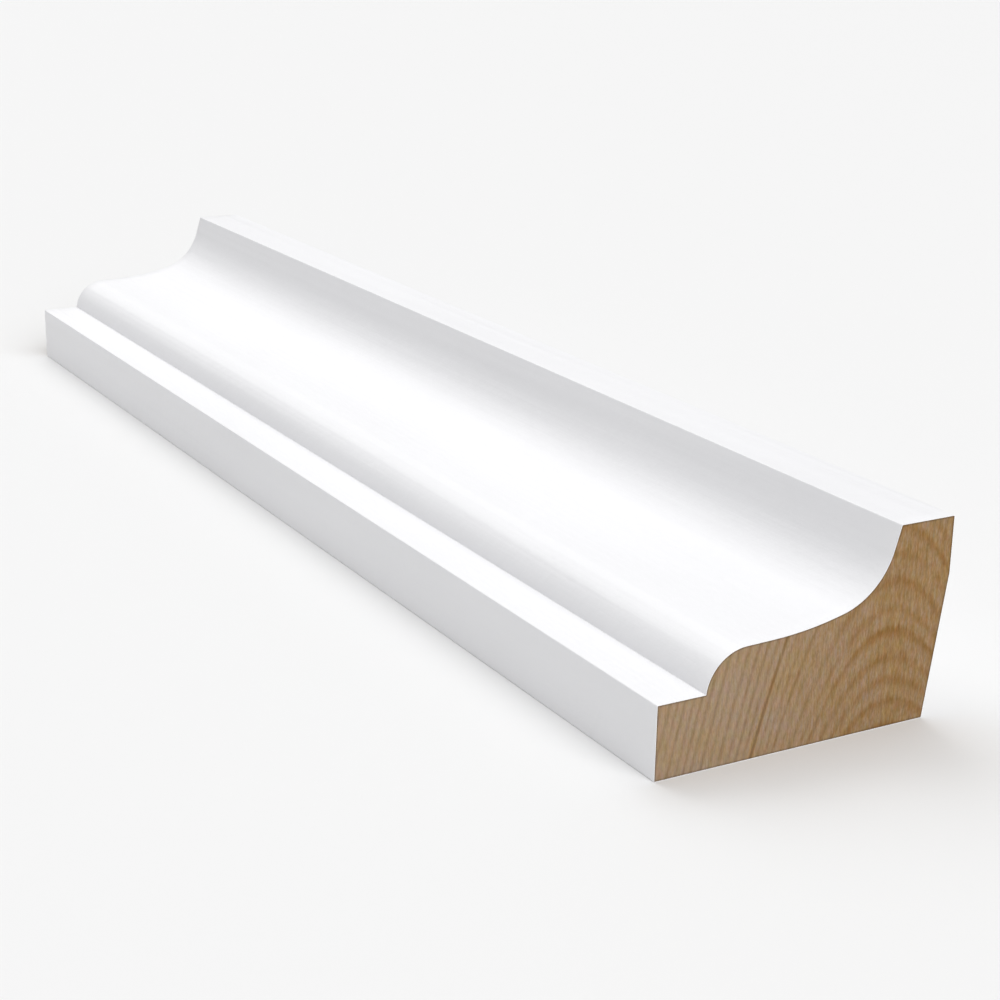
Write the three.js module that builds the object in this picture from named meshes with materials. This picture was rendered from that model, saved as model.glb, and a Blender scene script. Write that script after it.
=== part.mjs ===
// A length of moulding, milled from one stick of softwood, cut square at both ends and primed white.
//
// Millimetres. +X runs along the length and +Z points out of the flat back, through the moulded face.
// -Y is the thin edge's side and +Y is the thick, splayed edge's side. The origin lies on the back, in
// the middle of the length and of the overall width.
import * as THREE from "three";

const { degToRad } = THREE.MathUtils;

// The stick
const LENGTH = 268;
const WIDTH = 50.8;
const THICKNESS = 31.3;

// The thin edge and the flat fillet beside it
const THIN_EDGE_HEIGHT = 11.5;
const LOW_FILLET_WIDTH = 8.05;

// The ovolo: a quarter round that stands on the low fillet, its centre a little below it
const OVOLO_RADIUS = 6.85;
const OVOLO_CENTRE_DROP = 0.75;

// The cove: it leaves the ovolo almost level, bends up in a wide arc and a tight one, and ends in a
// straight lip at the top fillet
const COVE_ENTRY_SLOPE = degToRad(1.5);
const COVE_ENTRY_RUN = 4.5;
const COVE_WIDE_RADIUS = 56;
const COVE_WIDE_TURN = degToRad(12.7);
const COVE_TIGHT_RADIUS = 11.8;
const COVE_TIGHT_TURN = degToRad(59.5);

// The thick edge: an upright band at the top, then a splay that runs in towards the back
const OUTER_BAND_HEIGHT = 8.9;
const SPLAY_RUN_IN = 3.1;

// The farthest that an arc's chords stray from it
const CHORD_ERROR = 0.005;

const primer = new THREE.MeshStandardMaterial({ color: 0xf5f6f5, roughness: 0.5, metalness: 0 });
const endGrain = new THREE.MeshStandardMaterial({ color: 0xd3b083, roughness: 0.8, metalness: 0 });

// The end of a straight run that leaves a point in the direction of a heading.
function runEnd(from, heading, length) {
  return new THREE.Vector2(from.x + length * Math.cos(heading), from.y + length * Math.sin(heading));
}

// The points of an arc that leaves a point along a heading and turns left, or right where the turn is
// negative. The first point is left out, because the outline has it already.
function arcPoints(from, heading, radius, turn) {
  const toCentre = heading + (Math.sign(turn) * Math.PI) / 2;
  const centre = runEnd(from, toCentre, radius);
  const step = 2 * Math.acos(1 - CHORD_ERROR / radius);
  const steps = Math.ceil(Math.abs(turn) / step);
  const points = [];
  for (let i = 1; i <= steps; i += 1) {
    points.push(runEnd(centre, toCentre + Math.PI + (turn * i) / steps, radius));
  }
  return points;
}

// The ovolo's points, from the low fillet up to where it leaves for the cove.
function ovoloPoints(foot) {
  const startHeading = Math.PI / 2 - Math.asin(OVOLO_CENTRE_DROP / OVOLO_RADIUS);
  return arcPoints(foot, startHeading, OVOLO_RADIUS, COVE_ENTRY_SLOPE - startHeading);
}

// The cove's points, from the ovolo up to the inner edge of the top fillet.
function covePoints(start) {
  const points = [runEnd(start, COVE_ENTRY_SLOPE, COVE_ENTRY_RUN)];
  let heading = COVE_ENTRY_SLOPE;
  points.push(...arcPoints(points.at(-1), heading, COVE_WIDE_RADIUS, COVE_WIDE_TURN));
  heading += COVE_WIDE_TURN;
  points.push(...arcPoints(points.at(-1), heading, COVE_TIGHT_RADIUS, COVE_TIGHT_TURN));
  heading += COVE_TIGHT_TURN;
  const lipLength = (THICKNESS - points.at(-1).y) / Math.sin(heading);
  points.push(runEnd(points.at(-1), heading, lipLength));
  return points;
}

// The section, with x across from the thin edge and y up from the back. It goes up the thin edge, over
// the moulded face and down the thick edge to the back.
function sectionOutline() {
  const points = [
    new THREE.Vector2(0, 0),
    new THREE.Vector2(0, THIN_EDGE_HEIGHT),
    new THREE.Vector2(LOW_FILLET_WIDTH, THIN_EDGE_HEIGHT),
  ];
  points.push(...ovoloPoints(points.at(-1)));
  points.push(...covePoints(points.at(-1)));
  points.push(
    new THREE.Vector2(WIDTH, THICKNESS),
    new THREE.Vector2(WIDTH, THICKNESS - OUTER_BAND_HEIGHT),
    new THREE.Vector2(WIDTH - SPLAY_RUN_IN, 0),
  );
  return new THREE.Shape(points);
}

// The whole stick. The extrusion's two faces are the bare cut ends, and its walls carry the primer.
function mouldingLength() {
  const geometry = new THREE.ExtrudeGeometry(sectionOutline(), { depth: LENGTH, bevelEnabled: false });
  const mesh = new THREE.Mesh(geometry, [endGrain, primer]);
  mesh.name = "moulding_length";
  // Turns the section's x to +Y, its y to +Z and the extrusion to +X.
  mesh.rotation.set(Math.PI / 2, Math.PI / 2, 0);
  mesh.position.set(-LENGTH / 2, -WIDTH / 2, 0);
  return mesh;
}

const part = new THREE.Group();
part.add(mouldingLength());

export default part;
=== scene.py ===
"""A length of primed softwood moulding: the fine surface of the stick, its paint and its bare cut ends."""

import math

import bpy
import numpy as np
from mathutils import Matrix, Vector
from mathutils.geometry import delaunay_2d_cdt


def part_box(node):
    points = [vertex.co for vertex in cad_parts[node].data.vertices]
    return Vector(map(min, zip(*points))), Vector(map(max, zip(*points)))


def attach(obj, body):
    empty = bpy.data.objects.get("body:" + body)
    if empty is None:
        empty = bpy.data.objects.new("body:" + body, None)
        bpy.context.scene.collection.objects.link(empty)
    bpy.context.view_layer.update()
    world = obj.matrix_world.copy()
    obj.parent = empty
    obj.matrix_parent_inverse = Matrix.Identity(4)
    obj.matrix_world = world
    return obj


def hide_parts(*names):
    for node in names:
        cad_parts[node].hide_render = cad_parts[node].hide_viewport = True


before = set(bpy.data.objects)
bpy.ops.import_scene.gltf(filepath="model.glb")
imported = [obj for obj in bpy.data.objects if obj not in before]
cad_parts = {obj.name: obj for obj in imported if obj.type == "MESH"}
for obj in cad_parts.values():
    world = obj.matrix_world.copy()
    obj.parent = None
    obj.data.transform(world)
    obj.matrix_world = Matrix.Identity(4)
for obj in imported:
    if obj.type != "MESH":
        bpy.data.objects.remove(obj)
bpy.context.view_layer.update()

MM = 0.001
NODE = "moulding_length"
BODY = "root"
SEED = 7

# The stick's overall sizes, from its solid in model.glb
low_corner, high_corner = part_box(NODE)
LENGTH = high_corner.x - low_corner.x
WIDTH = high_corner.y - low_corner.y
THICKNESS = high_corner.z - low_corner.z

# The section, as in the solid
THIN_EDGE_HEIGHT = 11.5 * MM
LOW_FILLET_WIDTH = 8.05 * MM
OVOLO_RADIUS = 6.85 * MM
OVOLO_CENTRE_DROP = 0.75 * MM
COVE_ENTRY_SLOPE = math.radians(1.5)
COVE_ENTRY_RUN = 4.5 * MM
COVE_WIDE_RADIUS = 56 * MM
COVE_WIDE_TURN = math.radians(12.7)
COVE_TIGHT_RADIUS = 11.8 * MM
COVE_TIGHT_TURN = math.radians(59.5)
OUTER_BAND_HEIGHT = 8.9 * MM
SPLAY_RUN_IN = 3.1 * MM

# How finely the surface is made
ARRIS_RADIUS = 0.2 * MM
ARRIS_STEPS = 5
ARC_STEP = math.radians(2)
LONGEST_CHORD = 0.9 * MM
SUPPORT_GAP = 0.1 * MM
STATION_GAP = 3 * MM
END_GRID = 0.27 * MM
# A grid point of a cut end strays by up to this share of the grid
END_GRID_JITTER = 0.15
# The triangulation keeps the triangles inside its loop, and joins points nearer than this, in millimetres
ONLY_INSIDE = 1
JOINING_GAP = 1e-7
# Faces that meet at a larger angle than this are shaded as an edge
SHARP_ANGLE = math.radians(40)
# The bare wood's place among the piece's materials, after the paint
END_GRAIN_INDEX = 1

# The cut ends: the paint rounds over the arris, shows its film, and the wood lies inside
PAINT_ROUND = 0.04 * MM
PAINT_ROUND_STEPS = 3
PAINT_FILM = 0.035 * MM
RELIEF_LATEWOOD = 0.02 * MM
RELIEF_SAW = 0.012 * MM
SAW_BLADE_RADIUS = 127 * MM
SAW_MARK_GAP = 0.8 * MM
# The marks lean across by this much for each step up, and the other way on the far end
SAW_MARK_LEAN = 0.12
# The marks' spacing wanders by a slow wave and a quick one: how far each goes, in marks, its pace, and
# where the quick one starts
SAW_SLOW_WANDER = 0.5
SAW_SLOW_PACE = 0.37
SAW_QUICK_WANDER = 0.3
SAW_QUICK_PACE = 1.13
SAW_QUICK_START = 1

# The growth rings. A point's depth in the wood, in millimetres, is its height above a curve of the
# rings' own shape, which rises straight on the thin side and bends over the pith on the thick side.
RING_SLOPE = 4.28
RING_BEND = 0.0878
RING_BEND_START = 15.7
RING_BEND_EASE = 11.0
RING_CREST = 40.0
RING_SPREAD = 0.0029
# Past the crest the rings near the pith fall more gently
FAR_SIDE_RISE = 0.0404
FAR_SIDE_START = 40.4
FAR_SIDE_EASE = 2.0
FAR_SIDE_TOP = 15.3
FAR_SIDE_TOP_EASE = 0.2
# From the near end to the far one the depth grows and then eases back, on part of a sine wave: its height
# in millimetres, how far it turns in radians, and the share that it gains with each millimetre across
RING_DRIFT = 3.0
RING_DRIFT_TURN = 2.1
RING_DRIFT_TILT = 0.01
# Across the end, the wood turns yellower between these places, towards the pith
YELLOW_FROM = 10 * MM - WIDTH / 2
YELLOW_TO = 44 * MM - WIDTH / 2
# Beside the darkest year the wood is stained orange up to this height, and no more from the second on
STAIN_FULL = 7 * MM
STAIN_GONE = 14 * MM
# How much less dark the rings are on the flank between the straight ones and the arcs
FLANK_FADE = 0.14
FLANK_MIDDLE = 29 * MM
FLANK_HALF_WIDTH = 5 * MM
# Where in a year's number its dark band starts, is darkest and ends
LATEWOOD_BAND = (0.1, 0.5, 0.84)

# The years are drawn at random around these habits. The gaps between them are in millimetres at the
# crest, narrow near the pith and wide outside, and each gap strays by up to a share of itself.
YEAR_COUNT = 29
YEAR_GAP_INNER = 3.5
YEAR_GAP_OUTER = 7.0
YEAR_GAP_SPREAD = 0.2
YEAR_PALEST = 0.3
YEAR_DARKEST = 0.65
# The years near the pith end darker by up to this much, less with each year, until this many years out
PITH_DARKNESS = 0.25
PITH_YEARS = 9
# One year is far darker than the rest, and meets the back this far from the thin edge
DARKEST_YEAR_FOOT = 16.3 * MM


def run_end(start, heading, length):
    """The end of a straight run that leaves a point along a heading."""
    return (start[0] + length * math.cos(heading), start[1] + length * math.sin(heading))


def arc_points(start, heading, radius, turn):
    """An arc's points after its first. It turns left, or right where the turn is negative."""
    to_centre = heading + math.copysign(math.pi / 2, turn)
    centre = run_end(start, to_centre, radius)
    steps = math.ceil(abs(turn) / ARC_STEP)
    return [run_end(centre, to_centre + math.pi + turn * i / steps, radius) for i in range(1, steps + 1)]


def eased_corner(before, corner, after):
    """The points of the small round that eases a sharp corner."""
    corner = Vector(corner)
    back = (Vector(before) - corner).normalized()
    on = (Vector(after) - corner).normalized()
    half = back.angle(on) / 2
    reach = ARRIS_RADIUS / math.tan(half)
    centre = corner + (back + on).normalized() * (ARRIS_RADIUS / math.sin(half))
    first = corner + back * reach - centre
    last = corner + on * reach - centre
    whole = first.angle(last)
    points = []
    for i in range(ARRIS_STEPS + 1):
        share = i / ARRIS_STEPS
        spoke = first * math.sin(whole * (1 - share)) + last * math.sin(whole * share)
        points.append(tuple(centre + spoke / math.sin(whole)))
    return points


def with_chords(points):
    """The closed outline with its long runs cut into chords, and a support close to each end of a run."""
    full = []
    for start, end in zip(points, points[1:] + points[:1]):
        full.append(start)
        start, end = Vector(start), Vector(end)
        length = (end - start).length
        if length < 2 * LONGEST_CHORD:
            continue
        inner = length - 2 * SUPPORT_GAP
        chords = math.ceil(inner / LONGEST_CHORD)
        for i in range(chords + 1):
            full.append(tuple(start.lerp(end, (SUPPORT_GAP + inner * i / chords) / length)))
    return full


def section_outline():
    """The section, clockwise seen from the near end: across from the thin edge, and up from the back."""
    foot = (LOW_FILLET_WIDTH, THIN_EDGE_HEIGHT)
    heading = math.pi / 2 - math.asin(OVOLO_CENTRE_DROP / OVOLO_RADIUS)
    curve = [foot]
    curve += arc_points(foot, heading, OVOLO_RADIUS, COVE_ENTRY_SLOPE - heading)
    curve.append(run_end(curve[-1], COVE_ENTRY_SLOPE, COVE_ENTRY_RUN))
    curve += arc_points(curve[-1], COVE_ENTRY_SLOPE, COVE_WIDE_RADIUS, COVE_WIDE_TURN)
    heading = COVE_ENTRY_SLOPE + COVE_WIDE_TURN
    curve += arc_points(curve[-1], heading, COVE_TIGHT_RADIUS, COVE_TIGHT_TURN)
    heading += COVE_TIGHT_TURN
    lip_top = run_end(curve[-1], heading, (THICKNESS - curve[-1][1]) / math.sin(heading))

    back_thin = (0, 0)
    thin_top = (0, THIN_EDGE_HEIGHT)
    top_outer = (WIDTH, THICKNESS)
    band_foot = (WIDTH, THICKNESS - OUTER_BAND_HEIGHT)
    back_thick = (WIDTH - SPLAY_RUN_IN, 0)
    points = eased_corner(back_thick, back_thin, thin_top)
    points += eased_corner(back_thin, thin_top, foot)
    points += curve
    points += eased_corner(curve[-1], lip_top, top_outer)
    points += eased_corner(lip_top, top_outer, band_foot)
    points.append(band_foot)
    points += eased_corner(band_foot, back_thick, back_thin)
    return np.array(with_chords(points))


def inward(outline):
    """For each outline point, the step into the wood that moves both its runs in by one metre."""
    run = np.roll(outline, -1, axis=0) - outline
    run /= np.linalg.norm(run, axis=1)[:, None]
    normal = np.stack([run[:, 1], -run[:, 0]], axis=1)
    both = normal + np.roll(normal, 1, axis=0)
    return 2 * both / (both**2).sum(axis=1)[:, None]


def inside(points, outline):
    """Which points lie inside the outline."""
    found = np.zeros(len(points), bool)
    for (x0, y0), (x1, y1) in zip(outline, np.roll(outline, -1, axis=0)):
        if y0 == y1:
            continue
        spans = (points[:, 1] < y0) != (points[:, 1] < y1)
        found ^= spans & (points[:, 0] < x0 + (points[:, 1] - y0) * (x1 - x0) / (y1 - y0))
    return found


def distance_to(outline, points):
    """Each point's distance to the outline."""
    nearest = np.full(len(points), np.inf)
    for start, end in zip(outline, np.roll(outline, -1, axis=0)):
        run = end - start
        share = np.clip((points - start) @ run / (run @ run), 0, 1)
        gap = np.linalg.norm(points - start - share[:, None] * run, axis=1)
        nearest = np.minimum(nearest, gap)
    return nearest


def end_mesh(edge):
    """The cut end as points inside the edge loop, and triangles over the loop and those points."""
    rng = np.random.default_rng(SEED)
    across = np.arange(0, WIDTH, END_GRID)
    up = np.arange(0, THICKNESS, END_GRID)
    grid = np.stack(np.meshgrid(across, up), axis=-1)
    grid[1::2, :, 0] += END_GRID / 2
    jitter = rng.uniform(-END_GRID_JITTER, END_GRID_JITTER, (grid.size // 2, 2))
    grid = grid.reshape(-1, 2) + jitter * END_GRID
    grid = grid[inside(grid, edge)]
    grid = grid[distance_to(edge, grid) > END_GRID / 2]
    points = np.concatenate([edge, grid]) / MM
    loop = [(i, (i + 1) % len(edge)) for i in range(len(edge))]
    made = delaunay_2d_cdt([Vector(p) for p in points], loop, [], ONLY_INSIDE, JOINING_GAP)
    triangles = np.array(made[2])
    if len(made[0]) != len(points):
        raise ValueError("the cut end's triangulation merged or added points")
    return grid, triangles


def smooth_plus(value, ease):
    """The value where it is positive and nothing below, with an eased bend between."""
    return (value + np.sqrt(value * value + ease * ease)) / 2


def ring_depth(across, up):
    """How far out a point of the section lies from the pith, in millimetres of height at the crest."""

    def curve(x):
        return RING_SLOPE * x - RING_BEND * smooth_plus(x - RING_BEND_START, RING_BEND_EASE) ** 2

    x = across / MM
    z = up / MM
    past_crest = smooth_plus(x - FAR_SIDE_START, FAR_SIDE_EASE) ** 2
    near_pith = smooth_plus(1 - z / FAR_SIDE_TOP, FAR_SIDE_TOP_EASE)
    return z + RING_SPREAD * z * z - curve(x) + curve(RING_CREST) - FAR_SIDE_RISE * past_crest * near_pith


def drawn_years():
    """The depth of each year's darkest wood and how dark it is, from the pith out."""
    rng = np.random.default_rng(SEED)
    gaps = np.linspace(YEAR_GAP_INNER, YEAR_GAP_OUTER, YEAR_COUNT)
    gaps *= rng.uniform(1 - YEAR_GAP_SPREAD, 1 + YEAR_GAP_SPREAD, YEAR_COUNT)
    darkness = rng.uniform(YEAR_PALEST, YEAR_DARKEST, YEAR_COUNT)
    darkness += PITH_DARKNESS * np.clip(1 - np.arange(YEAR_COUNT) / PITH_YEARS, 0, 1)
    # The first year lies nearer the pith than any wood of the stick.
    depths = np.cumsum(gaps) - 2 * YEAR_GAP_INNER
    foot_depth = ring_depth(DARKEST_YEAR_FOOT, 0.0)
    darkest = np.argmin(np.abs(depths - foot_depth))
    depths += foot_depth - depths[darkest]
    darkness[darkest] = 1
    return depths, darkness


YEAR_DEPTHS, YEAR_DARKNESS = drawn_years()


def ring_number(along, across, up):
    """How many years out a point lies. A year's darkest wood is halfway between two whole numbers."""
    from_near = (LENGTH / 2 - along) / LENGTH
    drift = RING_DRIFT * np.sin(from_near * RING_DRIFT_TURN) * (1 + RING_DRIFT_TILT * across / MM)
    depth = ring_depth(across, up) + drift
    return np.interp(depth, YEAR_DEPTHS, np.arange(YEAR_COUNT) + 0.5)


def ring_strength(number, across):
    """How dark a point's year ends, from 0 to 1, and less on the flank."""
    year = np.clip(np.floor(number).astype(int), 0, YEAR_COUNT - 1)
    fade = FLANK_FADE * np.exp(-(((across - FLANK_MIDDLE) / FLANK_HALF_WIDTH) ** 2))
    return YEAR_DARKNESS[year] - fade


def latewood(number):
    """The latewood's share at a point: a soft band in the middle of the year's number."""
    share = np.interp(number % 1, LATEWOOD_BAND, (0, 1, 0))
    return share * share * (3 - 2 * share)


def saw_marks(across, up, lean):
    """The blade's marks on a cut end, from -1 to 1: shallow arcs with an uneven spacing."""
    u = across / SAW_MARK_GAP
    v = up / SAW_MARK_GAP
    bow = up**2 / (2 * SAW_BLADE_RADIUS) / SAW_MARK_GAP
    phase = u + lean * v + bow
    wander = SAW_SLOW_WANDER * np.sin(phase * SAW_SLOW_PACE)
    wander += SAW_QUICK_WANDER * np.sin(phase * SAW_QUICK_PACE + SAW_QUICK_START)
    return np.sin(2 * math.pi * (phase + wander))


def loops_along():
    """The outline's loops, each a place along the stick and an inset, which rounds both ends over."""
    half = LENGTH / 2
    rounding = []
    for i in range(PAINT_ROUND_STEPS + 1):
        angle = math.pi / 2 * i / PAINT_ROUND_STEPS
        rounding.append((half - PAINT_ROUND * (1 - math.sin(angle)), PAINT_ROUND * (1 - math.cos(angle))))
    rounding.append((half, PAINT_ROUND + PAINT_FILM))
    stations = math.ceil((LENGTH - 2 * PAINT_ROUND) / STATION_GAP)
    inner = np.linspace(-half + PAINT_ROUND, half - PAINT_ROUND, stations + 1)[1:-1]
    loops = [(-x, inset) for x, inset in reversed(rounding)]
    loops += [(x, 0.0) for x in inner]
    loops += rounding
    return loops


def wall_faces(loop_count, count):
    """The faces between neighbouring loops, which have this count of points each."""
    faces = []
    for a in range(0, (loop_count - 1) * count, count):
        b = a + count
        for i in range(count):
            j = (i + 1) % count
            faces.append((a + i, b + i, b + j, a + j))
    return faces


def end_relief(side, grid, outline):
    """How deep each grid point of a cut end lies, from the rings and the saw, and level beside the paint."""
    number = ring_number(np.full(len(grid), side * LENGTH / 2), grid[:, 0], grid[:, 1])
    ridge = latewood(number) * ring_strength(number, grid[:, 0])
    marks = saw_marks(grid[:, 0], grid[:, 1], SAW_MARK_LEAN * side)
    depth = RELIEF_LATEWOOD * (1 - ridge) + RELIEF_SAW * (1 + marks) / 2
    from_paint = distance_to(outline, grid) - PAINT_ROUND - PAINT_FILM
    return depth * np.clip(from_paint / END_GRID, 0, 1)


def moulding_mesh():
    """The whole stick as one closed mesh: loops of outline points along it, and a fine grid on each end."""
    outline = section_outline()
    step_in = inward(outline)
    count = len(outline)
    loops = loops_along()
    sections = [outline + step_in * inset for _, inset in loops]
    points = [np.column_stack([np.full(count, x), s]) for (x, _), s in zip(loops, sections)]
    faces = wall_faces(len(loops), count)
    painted = len(faces)

    grid, triangles = end_mesh(sections[-1])
    for side in (1, -1):
        along = side * (LENGTH / 2 - end_relief(side, grid, outline))
        first = sum(len(p) for p in points)
        edge = (len(loops) - 1) * count if side > 0 else 0
        # The triangles number the points of the edge first, and then those of the grid.
        index = np.where(triangles < count, triangles + edge, triangles - count + first)
        points.append(np.column_stack([along, grid]))
        faces += [tuple(t) for t in (index if side > 0 else index[:, ::-1])]
    points = np.concatenate(points)
    points[:, 1] += low_corner.y

    mesh = bpy.data.meshes.new(NODE + "_surface")
    mesh.from_pydata(points.tolist(), [], faces)
    mesh.update()
    material = np.zeros(len(faces), np.int32)
    material[painted:] = END_GRAIN_INDEX
    mesh.polygons.foreach_set("material_index", material)
    return mesh, points, outline


def add_wood_attributes(mesh, points, outline):
    """Each point's place in the growth rings, its year's strength, and its distance to the paint."""
    across = points[:, 1] - low_corner.y
    number = ring_number(points[:, 0], across, points[:, 2])
    on_end = np.abs(points[:, 0]) > LENGTH / 2 - PAINT_ROUND
    rim = np.zeros(len(points))
    section = np.column_stack([across, points[:, 2]])
    rim[on_end] = distance_to(outline, section[on_end]) / MM
    strength = ring_strength(number, across)
    for name, values in (("ring", number), ("strength", strength), ("rim", rim)):
        layer = mesh.attributes.new(name, "FLOAT", "POINT")
        layer.data.foreach_set("value", values.astype(np.float32))


def new_material(name):
    """An empty node material, and the helper that adds a node to it."""
    material = bpy.data.materials.new(name)
    material.use_nodes = True
    tree = material.node_tree
    tree.nodes.clear()

    def add(kind, settings=None, **inputs):
        """A new node. An input is given by name, or as i and its place, and is a value or a socket."""
        node = tree.nodes.new(kind)
        for key, value in (settings or {}).items():
            setattr(node, key, value)
        for key, value in inputs.items():
            socket = node.inputs[int(key[1:])] if key[0] == "i" and key[1:].isdigit() else node.inputs[key]
            if isinstance(value, bpy.types.NodeSocket):
                tree.links.new(value, socket)
            else:
                socket.default_value = value
        return node

    return material, add


def ramp(add, factor, stops, interpolation="LINEAR"):
    """A colour ramp's output. A stop is a place and a grey value or a colour."""
    node = add("ShaderNodeValToRGB", Fac=factor)
    node.color_ramp.interpolation = interpolation
    elements = node.color_ramp.elements
    # A ramp starts with two stops. Where the others are added doesn't matter, because each is placed below.
    while len(elements) < len(stops):
        elements.new(0.5)
    for element, (place, colour) in zip(elements, stops):
        element.position = place
        if isinstance(colour, (int, float)):
            colour = (colour, colour, colour)
        element.color = (*colour, 1)
    return node.outputs["Color"]


def attribute(add, name):
    """The value of one of the mesh's attributes."""
    return add("ShaderNodeAttribute", {"attribute_name": name}).outputs["Fac"]


def maths(add, operation, a, b=0.0, c=0.0):
    """A math node's output."""
    return add("ShaderNodeMath", {"operation": operation}, i0=a, i1=b, i2=c).outputs[0]


def mixed(add, factor, a, b, blend="MIX"):
    """A colour mix node's output."""
    node = add("ShaderNodeMix", {"data_type": "RGBA", "blend_type": blend})
    tree = node.id_data
    # The node has sockets for numbers and vectors too, so its colours are inputs 6 and 7 and output 2.
    for index, value in ((0, factor), (6, a), (7, b)):
        socket = node.inputs[index]
        if isinstance(value, bpy.types.NodeSocket):
            tree.links.new(value, socket)
        else:
            socket.default_value = value if index == 0 else (*value, 1)
    return node.outputs[2]


def multiplied(add, colour, factors):
    """A colour times the factors for its red, green and blue."""
    return mixed(add, 1.0, colour, factors, "MULTIPLY")


def eased(add, value, start, end):
    """From 0 where the value is at the start to 1 where it is at the end, eased."""
    settings = {"interpolation_type": "SMOOTHSTEP"}
    if start > end:
        return add("ShaderNodeMapRange", settings, i0=value, i1=end, i2=start, i3=1.0, i4=0.0).outputs[0]
    return add("ShaderNodeMapRange", settings, i0=value, i1=start, i2=end).outputs[0]


def noise(add, place, stretch, detail=2.0, roughness=0.5, shift=0.0):
    """A noise's value, with about as many cells in a metre of each axis as the stretch says."""
    mapped = add("ShaderNodeMapping", Vector=place, Scale=stretch, Location=(shift, shift, shift)).outputs[0]
    node = add("ShaderNodeTexNoise", Vector=mapped, Scale=1.0, Detail=detail, Roughness=roughness)
    return node.outputs["Fac"]


def srgb(red, green, blue):
    """A colour given as it looks on screen, from 0 to 255, as the linear values a shader takes."""

    def linear(value):
        value /= 255
        return value / 12.92 if value <= 0.04045 else ((value + 0.055) / 1.055) ** 2.4

    return (linear(red), linear(green), linear(blue))


def latewood_band(add, ring):
    """The latewood's share from a ring number, as in latewood()."""
    part = maths(add, "FRACT", ring)
    start, middle, end = LATEWOOD_BAND
    return ramp(add, part, [(start, 0), (middle, 1), (end, 0)], "EASE")


# The paint. Its noises are the planer's long marks, the coat's own texture and broad soft clouds.
PLANED = {"stretch": (14, 900, 900), "detail": 3}
PEEL = {"stretch": (420, 420, 420), "detail": 3}
CLOUD = {"stretch": (12, 60, 60), "detail": 3}
CLOUD_WHITES = ((0.3, srgb(238, 238, 240)), (0.7, srgb(242, 242, 244)))
PAINT_ROUGHNESS = 0.36
PLANED_ROUGHNESS = 0.2
# How high the grain, the planer's marks and the coat's texture stand, in millimetres
GRAIN_HEIGHT = 0.03
PLANED_HEIGHT = 0.04
PEEL_HEIGHT = 0.08


def primer_material():
    """Satin white primer, with the faint marks of the planer and the grain under it."""
    material, add = new_material("satin_primer")
    place = add("ShaderNodeTexCoord").outputs["Object"]
    grain = latewood_band(add, attribute(add, "ring"))
    planed = noise(add, place, **PLANED)
    peel = noise(add, place, **PEEL)
    tone = ramp(add, noise(add, place, **CLOUD), CLOUD_WHITES)
    rough = maths(add, "MULTIPLY_ADD", planed, PLANED_ROUGHNESS, PAINT_ROUGHNESS)
    height = maths(add, "MULTIPLY", planed, PLANED_HEIGHT)
    height = maths(add, "MULTIPLY_ADD", grain, GRAIN_HEIGHT, height)
    height = maths(add, "MULTIPLY_ADD", peel, PEEL_HEIGHT, height)
    bump = add("ShaderNodeBump", Strength=1.0, Distance=MM, Height=height).outputs[0]
    shader = add("ShaderNodeBsdfPrincipled", **{"Base Color": tone, "Roughness": rough, "Normal": bump})
    add("ShaderNodeOutputMaterial", Surface=shader.outputs[0])
    return material


# The bare wood. Its noises are alike along the stick, and the shifts keep them apart.
FIBRE = {"stretch": (0, 3900, 1100), "detail": 3, "roughness": 0.6}
STREAK = {"stretch": (0, 2100, 270), "detail": 3, "roughness": 0.6}
TINT = {"stretch": (0, 2600, 600), "detail": 3, "roughness": 0.6, "shift": 3.1}
COMB = {"stretch": (0, 1400, 240), "shift": 5.2}
PATCH = {"stretch": (0, 170, 170), "shift": 7.7}
FADE = {"stretch": (0, 300, 300), "shift": 11.3}
BLUSH = {"stretch": (0, 900, 600), "shift": 14.9}
# A noise's low and high value, and what it multiplies the wood's red, green and blue by there
PALE_FIBRES = ((0.2, (0.68, 0.64, 0.52)), (0.8, (1.32, 1.36, 1.48)))
DEEP_FIBRES = ((0.2, (0.75, 0.66, 0.38)), (0.8, (1.25, 1.34, 1.64)))
STREAKS = ((0.2, (0.84, 0.8, 0.66)), (0.8, (1.16, 1.2, 1.34)))
COMBED = ((0.25, (0.88, 0.82, 0.67)), (0.75, (1.12, 1.18, 1.34)))
TINTS = ((0.25, (0.89, 0.98, 1.22)), (0.75, (1.11, 1.02, 0.78)))
PATCHES = ((0.3, (1.0, 0.98, 0.86)), (0.7, (1.0, 1.02, 1.14)))
BLUSHES = ((0.3, (0.97, 1.03, 0.96)), (0.7, (1.03, 0.97, 1.04)))
# The same for the share of late wood
FADES = ((0.3, 0.65), (0.7, 1.35))
# Distances to the outline in millimetres, and what the wood is multiplied by there
RIM_SHADE = ((0.14, 0.6), (0.42, 1.0))
# The stain's share across a year, and by how dark the year is, so that it takes the darkest year alone
STAIN_BAND = ((0.0, 0), (0.15, 1), (0.85, 1), (1.0, 0))
STAINED_YEAR = ((0.91, 0), (0.96, 1))
# The wood's colours on the thin side and towards the pith
EARLY_THIN_SIDE = srgb(157, 133, 106)
EARLY_PITH_SIDE = srgb(146, 117, 81)
EARLY_STAINED = srgb(157, 128, 91)
LATE_THIN_SIDE = srgb(125, 102, 74)
LATE_PITH_SIDE = srgb(129, 91, 39)
# How much more of the pith side's colour the late wood takes in a fully dark year
DARK_YEAR_RICHER = 0.2
# How far the streaks tear a ring's edge, in years, and how much the noises show: on the thin side, and
# how much more towards the pith
RAGGED = 0.1
RAGGED_MORE = 0.35
LIVELY = 0.6
LIVELY_MORE = 0.4
# How high the fibres and the streaks stand, in millimetres
FIBRE_HEIGHT = 0.03
STREAK_HEIGHT = 0.03
WOOD_ROUGHNESS = 0.8
WOOD_SPECULAR = 0.25


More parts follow.
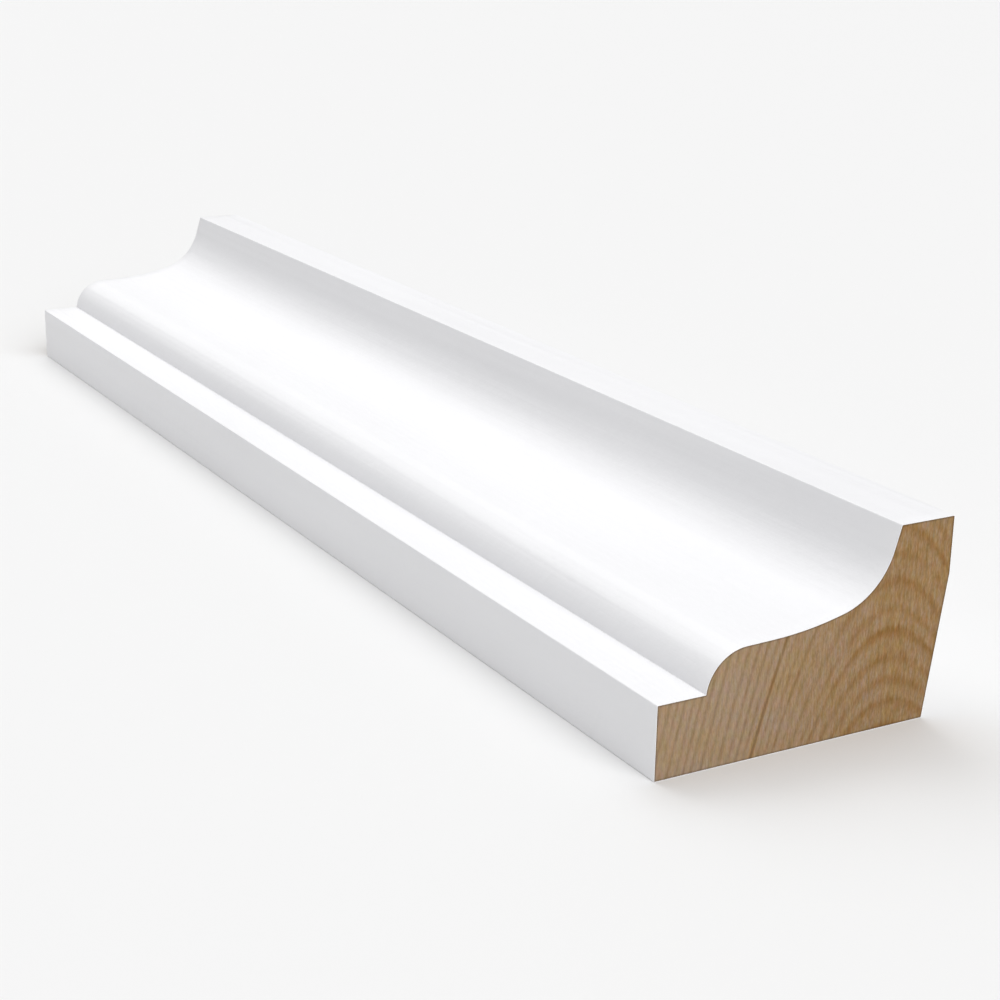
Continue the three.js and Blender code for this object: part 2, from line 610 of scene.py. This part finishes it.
def ringed_wood(add, place, up, yellow, streak):
    """The wood's colour by its rings: early wood, late wood, and the stain around the darkest year."""
    ring = attribute(add, "ring")
    strength = attribute(add, "strength")
    around = ramp(add, maths(add, "FRACT", ring), STAIN_BAND)
    stained = maths(add, "MULTIPLY", around, ramp(add, strength, STAINED_YEAR))
    stained = maths(add, "MULTIPLY", stained, eased(add, up, STAIN_GONE, STAIN_FULL))
    early_colour = mixed(add, yellow, EARLY_THIN_SIDE, EARLY_PITH_SIDE)
    early_colour = mixed(add, stained, early_colour, EARLY_STAINED)
    rich = maths(add, "MULTIPLY_ADD", strength, DARK_YEAR_RICHER, yellow)
    late_colour = mixed(add, rich, LATE_THIN_SIDE, LATE_PITH_SIDE)

    ragged = maths(add, "MULTIPLY_ADD", yellow, RAGGED_MORE, RAGGED)
    torn = maths(add, "MULTIPLY_ADD", maths(add, "SUBTRACT", streak, 0.5), ragged, ring)
    late = maths(add, "MULTIPLY", latewood_band(add, torn), strength)
    late = maths(add, "MULTIPLY", late, ramp(add, noise(add, place, **FADE), FADES))
    return mixed(add, late, early_colour, late_colour)


def torn_wood(add, place, wood, yellow, fibre, streak):
    """The wood's colour with its torn fibres, streaks and tints, and darker beside the paint."""
    lively = maths(add, "MULTIPLY_ADD", yellow, LIVELY_MORE, LIVELY)
    fibres = mixed(add, yellow, ramp(add, fibre, PALE_FIBRES), ramp(add, fibre, DEEP_FIBRES))
    wood = mixed(add, lively, wood, multiplied(add, wood, fibres))
    wood = mixed(add, lively, wood, multiplied(add, wood, ramp(add, streak, STREAKS)))
    combed = ramp(add, noise(add, place, **COMB), COMBED)
    wood = mixed(add, yellow, wood, multiplied(add, wood, combed))
    tints = ramp(add, noise(add, place, **TINT), TINTS)
    wood = mixed(add, lively, wood, multiplied(add, wood, tints))
    wood = multiplied(add, wood, ramp(add, noise(add, place, **PATCH), PATCHES))
    wood = multiplied(add, wood, ramp(add, noise(add, place, **BLUSH), BLUSHES))
    return multiplied(add, wood, ramp(add, attribute(add, "rim"), RIM_SHADE))


def end_grain_material():
    """Bare pine, cut across: soft brown rings, paler wood between, and fine upright torn fibres."""
    material, add = new_material("bare_end_grain")
    place = add("ShaderNodeTexCoord").outputs["Object"]
    parts = add("ShaderNodeSeparateXYZ", Vector=place).outputs
    yellow = eased(add, parts["Y"], YELLOW_FROM, YELLOW_TO)
    fibre = noise(add, place, **FIBRE)
    streak = noise(add, place, **STREAK)
    wood = ringed_wood(add, place, parts["Z"], yellow, streak)
    wood = torn_wood(add, place, wood, yellow, fibre, streak)
    height = maths(add, "MULTIPLY", streak, STREAK_HEIGHT)
    height = maths(add, "MULTIPLY_ADD", fibre, FIBRE_HEIGHT, height)
    bump = add("ShaderNodeBump", Strength=1.0, Distance=MM, Height=height).outputs[0]
    shader = add("ShaderNodeBsdfPrincipled", **{"Base Color": wood, "Normal": bump})
    shader.inputs["Roughness"].default_value = WOOD_ROUGHNESS
    shader.inputs["Specular IOR Level"].default_value = WOOD_SPECULAR
    add("ShaderNodeOutputMaterial", Surface=shader.outputs[0])
    return material


def add_moulding():
    """The finished stick, in place of its solid."""
    mesh, points, outline = moulding_mesh()
    add_wood_attributes(mesh, points, outline)
    mesh.shade_smooth()
    mesh.set_sharp_from_angle(angle=SHARP_ANGLE)
    mesh.materials.append(primer_material())
    mesh.materials.append(end_grain_material())
    piece = bpy.data.objects.new("primed_moulding", mesh)
    bpy.context.scene.collection.objects.link(piece)
    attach(piece, BODY)
    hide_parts(NODE)


# The camera, at the photograph's place
CAMERA_AZIMUTH = math.radians(60.03)
CAMERA_ELEVATION = math.radians(18.01)
CAMERA_ROLL = math.radians(-1.11)
CAMERA_DISTANCE = 399.2 * MM
CAMERA_AIM = Vector((15.83, 17.44, 0.26)) * MM
LENS = 73.6
SENSOR = 36
NEAREST_SEEN = 10 * MM

# The floor, a disc whose rim turns up into a pale backdrop, in metres, and the light
FLOOR_RADIUS = 3.0
BACKDROP_RADIUS = 6.0
BACKDROP_TURN = math.radians(60)
BACKDROP_STEPS = 12
FLOOR_SIDES = 96
FLOOR_COLOUR = srgb(236, 236, 236)
FLOOR_ROUGHNESS = 0.9
FLOOR_SPECULAR = 0.1
WORLD_STRENGTH = 0.362
# Each light: the side it comes from and its height above the horizon, in degrees, its strength, and how
# wide it is in the sky, in degrees
SUNS = {
    "near_end": (90, 40, 1.92, 50),
    "far_end": (270, 40, 0.79, 50),
    "far_end_high": (270, 65, 0.49, 50),
    "thick_side": (225, 40, 0.22, 50),
}


def towards(azimuth, elevation):
    """The direction to a place seen at an azimuth from -Y, turning towards +X, and an elevation."""
    level = math.cos(elevation)
    return Vector((math.sin(azimuth) * level, -math.cos(azimuth) * level, math.sin(elevation)))


def add_camera():
    """The camera: it looks at its aim from the photograph's side, a little rolled."""
    data = bpy.data.cameras.new("camera")
    data.lens = LENS
    data.sensor_width = SENSOR
    data.clip_start = NEAREST_SEEN
    camera = bpy.data.objects.new("camera", data)
    back = towards(CAMERA_AZIMUTH, CAMERA_ELEVATION)
    turn = (-back).to_track_quat("-Z", "Y").to_matrix() @ Matrix.Rotation(-CAMERA_ROLL, 3, "Z")
    camera.matrix_world = Matrix.Translation(CAMERA_AIM + back * CAMERA_DISTANCE) @ turn.to_4x4()
    bpy.context.scene.collection.objects.link(camera)
    bpy.context.scene.camera = camera


def circle(radius, height):
    """The points of a level circle around the stick."""
    angles = [2 * math.pi * i / FLOOR_SIDES for i in range(FLOOR_SIDES)]
    return [(radius * math.cos(a), radius * math.sin(a), height) for a in angles]


def add_staged(name, points, faces, material):
    """An object that isn't part of the stick."""
    mesh = bpy.data.meshes.new(name)
    mesh.from_pydata(points, [], faces)
    mesh.materials.append(material)
    mesh.shade_smooth()
    staged = bpy.data.objects.new(name, mesh)
    bpy.context.scene.collection.objects.link(staged)
    return staged


def add_floor():
    """A plain pale floor and its backdrop, which only the camera sees, so that it changes no light."""
    material, add = new_material("pale_floor")
    shader = add("ShaderNodeBsdfPrincipled")
    shader.inputs["Base Color"].default_value = (*FLOOR_COLOUR, 1)
    shader.inputs["Roughness"].default_value = FLOOR_ROUGHNESS
    shader.inputs["Specular IOR Level"].default_value = FLOOR_SPECULAR
    add("ShaderNodeOutputMaterial", Surface=shader.outputs[0])
    add_staged("floor", circle(FLOOR_RADIUS, 0), [tuple(range(FLOOR_SIDES))], material)

    points = []
    for step in range(BACKDROP_STEPS + 1):
        turn = BACKDROP_TURN * step / BACKDROP_STEPS
        reach = FLOOR_RADIUS + BACKDROP_RADIUS * math.sin(turn)
        points += circle(reach, BACKDROP_RADIUS * (1 - math.cos(turn)))
    faces = []
    for step in range(BACKDROP_STEPS):
        for i in range(FLOOR_SIDES):
            a = step * FLOOR_SIDES + i
            b = step * FLOOR_SIDES + (i + 1) % FLOOR_SIDES
            faces.append((a, a + FLOOR_SIDES, b + FLOOR_SIDES, b))
    backdrop = add_staged("backdrop", points, faces, material)
    backdrop.visible_diffuse = False
    backdrop.visible_glossy = False
    backdrop.visible_shadow = False


def add_lights():
    """A soft white surround and a few soft suns."""
    world = bpy.data.worlds.new("surround")
    bpy.context.scene.world = world
    world.use_nodes = True
    background = world.node_tree.nodes["Background"]
    background.inputs["Color"].default_value = (1, 1, 1, 1)
    background.inputs["Strength"].default_value = WORLD_STRENGTH
    for name, (azimuth, elevation, strength, softness) in SUNS.items():
        data = bpy.data.lights.new(name, "SUN")
        data.energy = strength
        data.angle = math.radians(softness)
        light = bpy.data.objects.new(name, data)
        back = towards(math.radians(azimuth), math.radians(elevation))
        light.rotation_mode = "QUATERNION"
        light.rotation_quaternion = (-back).to_track_quat("-Z", "Y")
        bpy.context.scene.collection.objects.link(light)


bpy.context.scene.view_settings.view_transform = "Standard"
add_moulding()
add_camera()
add_floor()
add_lights()
